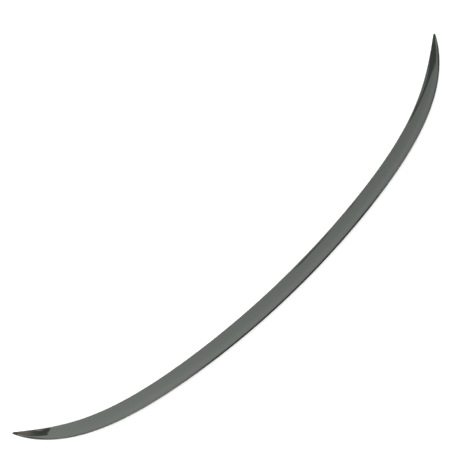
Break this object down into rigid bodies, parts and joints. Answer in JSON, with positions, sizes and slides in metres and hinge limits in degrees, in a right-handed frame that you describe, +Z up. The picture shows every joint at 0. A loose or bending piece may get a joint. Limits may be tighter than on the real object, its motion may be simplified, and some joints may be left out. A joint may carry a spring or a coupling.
{
  "type": "boot lid lip spoiler",
  "caption": "Slim crescent lip spoiler for a car's boot lid: painted skin over a ribbed carrier, bonded on with foam tape under peel-off liners.",
  "frame": {"origin": "on the table, under the middle of the lip's box", "axes": "+X across the car from tip to tip, +Y towards the leading edge and the swept tips, +Z up"},
  "size_m": [1.1834, 0.1956, 0.0146],
  "materials": {
    "gloss_black_paint": "gloss black paint under clear lacquer on ABS",
    "black_moulding": "unpainted black ABS, fine moulded grain",
    "bond_adhesive": "cured dark grey structural adhesive",
    "seal_rubber": "matt black soft rubber",
    "foam_tape": "closed-cell black acrylic foam",
    "red_liner": "smooth red release film"
  },
  "bodies": {
    "root": {"outer_skin": "gloss_black_paint", "base_carrier": "black_moulding", "bond_bead_rear": "bond_adhesive", "bond_bead_front": "bond_adhesive", "leading_edge_seal": "seal_rubber", "tape_rear_1": "foam_tape", "tape_rear_2": "foam_tape", "tape_rear_3": "foam_tape", "tape_rear_4": "foam_tape", "tape_rear_5": "foam_tape", "tape_front_1": "foam_tape", "tape_front_2": "foam_tape", "tape_front_3": "foam_tape", "tape_front_4": "foam_tape", "tape_front_5": "foam_tape", "tape_tip_left": "foam_tape", "tape_tip_right": "foam_tape", "liner_rear_1": "red_liner", "liner_rear_2": "red_liner", "liner_rear_3": "red_liner", "liner_rear_4": "red_liner", "liner_rear_5": "red_liner", "liner_front_1": "red_liner", "liner_front_2": "red_liner", "liner_front_3": "red_liner", "liner_front_4": "red_liner", "liner_front_5": "red_liner", "liner_tip_left": "red_liner", "liner_tip_right": "red_liner"}
  },
  "joints": []
}
